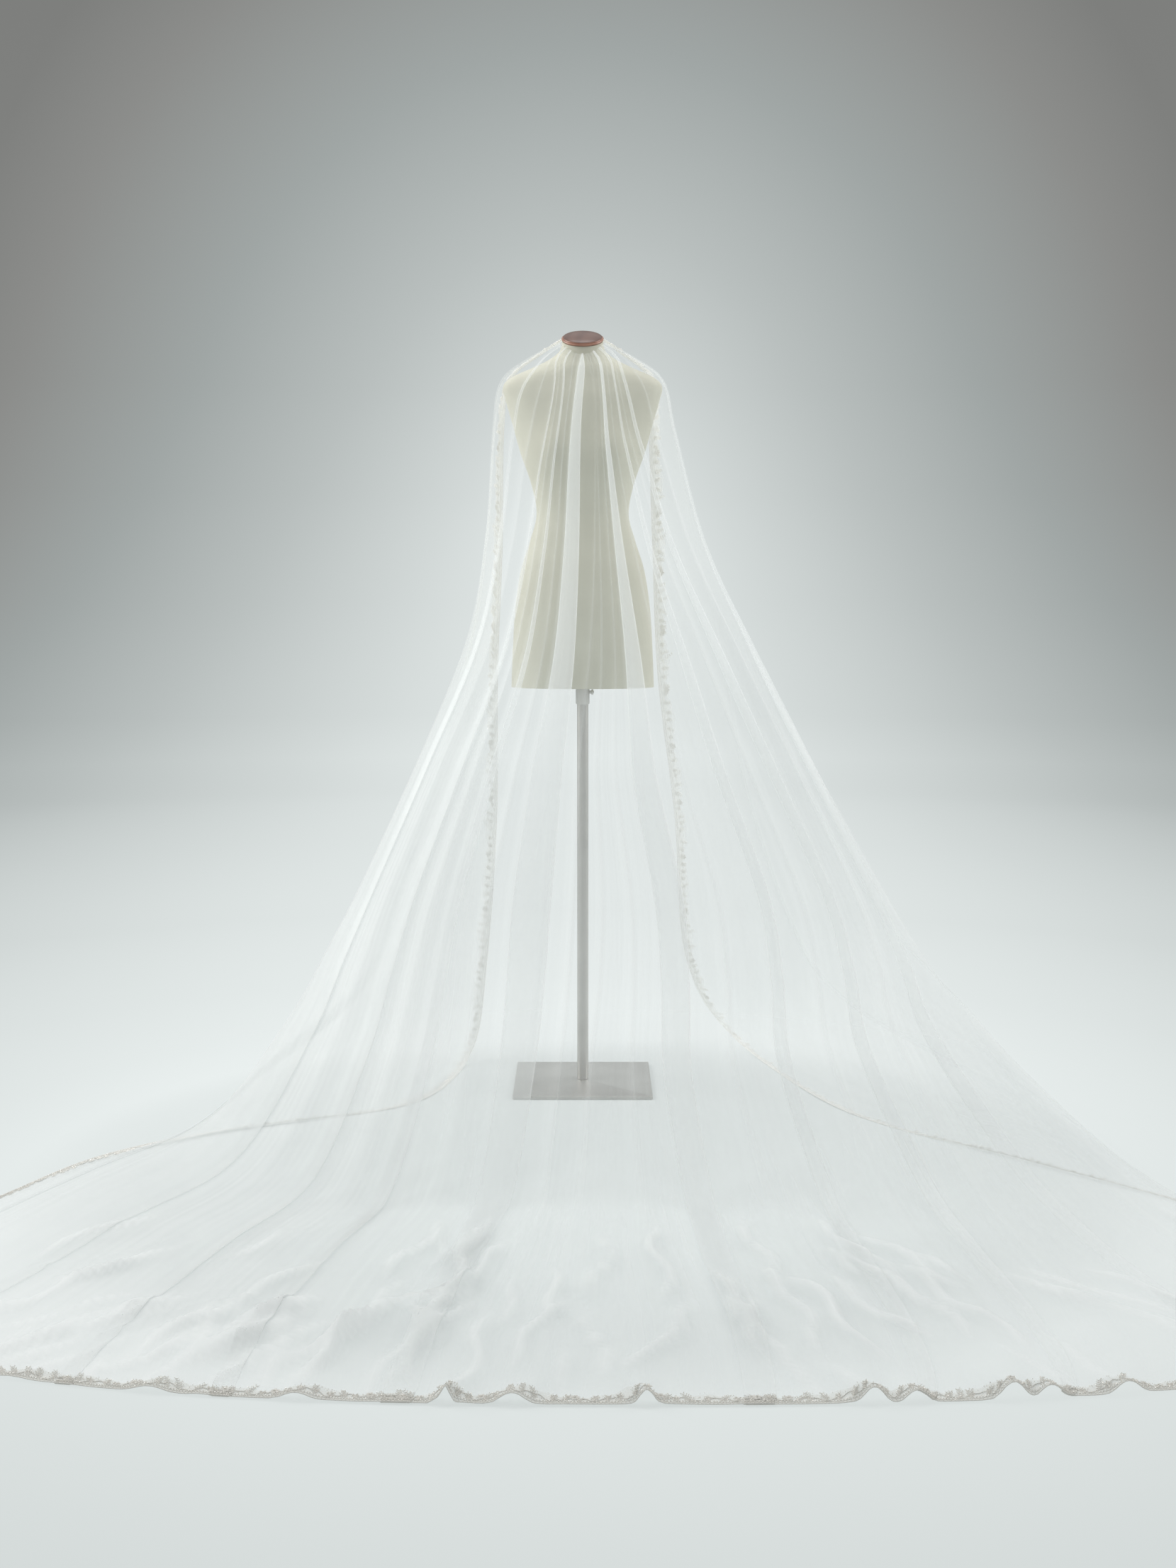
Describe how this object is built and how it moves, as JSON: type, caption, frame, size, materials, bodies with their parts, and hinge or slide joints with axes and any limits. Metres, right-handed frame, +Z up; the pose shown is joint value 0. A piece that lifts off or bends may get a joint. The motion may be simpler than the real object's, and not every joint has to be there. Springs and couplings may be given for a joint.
{
  "type": "bridal veil on a dress form and stand",
  "caption": "Long white tulle bridal veil with a lace edging, gathered at the neck of a limbless dress form on a pole and square base, its train spread on the floor.",
  "frame": {"origin": "centre of the base plate's underside, below the pole, on the floor", "axes": "+Z up along the pole; the form's front and the train point along -Y; +X to the right as seen from the front"},
  "size_m": [2.7302, 2.2372, 1.8059],
  "materials": {
    "tulle": "sheer soft white tulle",
    "lace": "beaded and corded lace, silver beige",
    "linen": "matt ivory linen stretched over the form",
    "wood": "dark brown, satin",
    "steel": "warm light grey, satin"
  },
  "bodies": {
    "root": {"veil_panel": "tulle", "lace_edging": "lace", "torso": "linen", "neck_cap": "wood", "collar": "steel", "collar_screw": "steel", "pole": "steel", "base_plate": "steel"}
  },
  "joints": []
}
